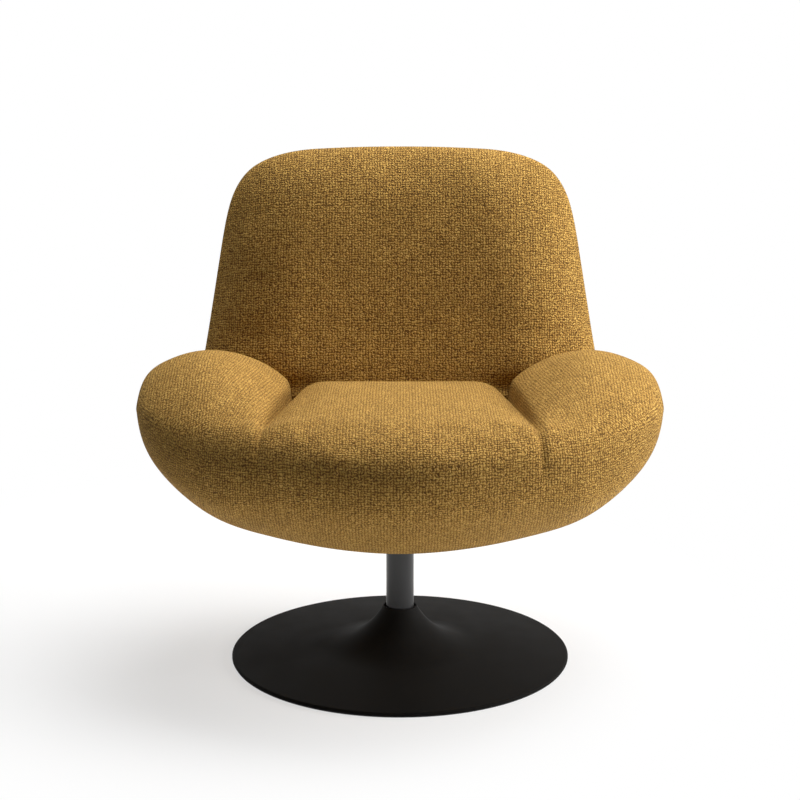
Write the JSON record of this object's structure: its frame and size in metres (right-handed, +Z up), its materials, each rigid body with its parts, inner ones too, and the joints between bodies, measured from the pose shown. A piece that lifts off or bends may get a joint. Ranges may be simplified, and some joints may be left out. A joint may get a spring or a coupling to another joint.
{
  "type": "swivel armchair",
  "caption": "Low upholstered swivel armchair: padded bowl seat with rolled arms, leaning back, column turning on a trumpet base.",
  "frame": {"origin": "on the floor, on the column's axis, at the middle of the chair's footprint", "axes": "+Z up; the sitter faces -Y; +X to the right of someone looking at the chair's front"},
  "size_m": [0.789, 0.7299, 0.7388],
  "materials": {
    "base_black": "satin",
    "ballast_iron": "matte",
    "floor_plastic": "matte",
    "turned_steel": "satin",
    "zinc_steel": "satin",
    "spring_steel": "satin",
    "bearing_nylon": "satin",
    "column_grey": "satin",
    "plate_black": "matte",
    "shell_ply": "matte",
    "foam": "matte",
    "mustard_weave": "matte",
    "insert_brass": "satin",
    "spacer_plastic": "matte"
  },
  "bodies": {
    "base": {"base_cover": "base_black", "base_weight": "ballast_iron", "floor_ring": "floor_plastic", "base_post": "turned_steel", "base_bolts": "zinc_steel", "collar_ring": "bearing_nylon", "thrust_washer": "bearing_nylon", "retaining_ring": "spring_steel"},
    "chair": {"column_tube": "column_grey", "lower_bush": "bearing_nylon", "upper_bush": "bearing_nylon", "seat_plate": "plate_black", "seat_bolts": "zinc_steel", "seat_washers": "zinc_steel", "seat_tee_nuts": "zinc_steel", "seat_shell": "shell_ply", "seat_foam": "foam", "arm_foam_left": "foam", "arm_foam_right": "foam", "seat_cover": "mustard_weave", "bracket_left": "plate_black", "bracket_right": "plate_black", "bracket_bolts": "zinc_steel", "shell_inserts": "insert_brass", "back_shell": "shell_ply", "back_inserts": "insert_brass", "back_spacers": "spacer_plastic", "back_bolts": "zinc_steel", "back_foam_front": "foam", "back_foam_rear": "foam", "back_cover": "mustard_weave"}
  },
  "joints": [
    {"name": "swivel", "type": "hinge", "parent": "base", "child": "chair", "pos_m": [0, 0, 0], "axis": [0, 0, 1], "continuous": true}
  ]
}
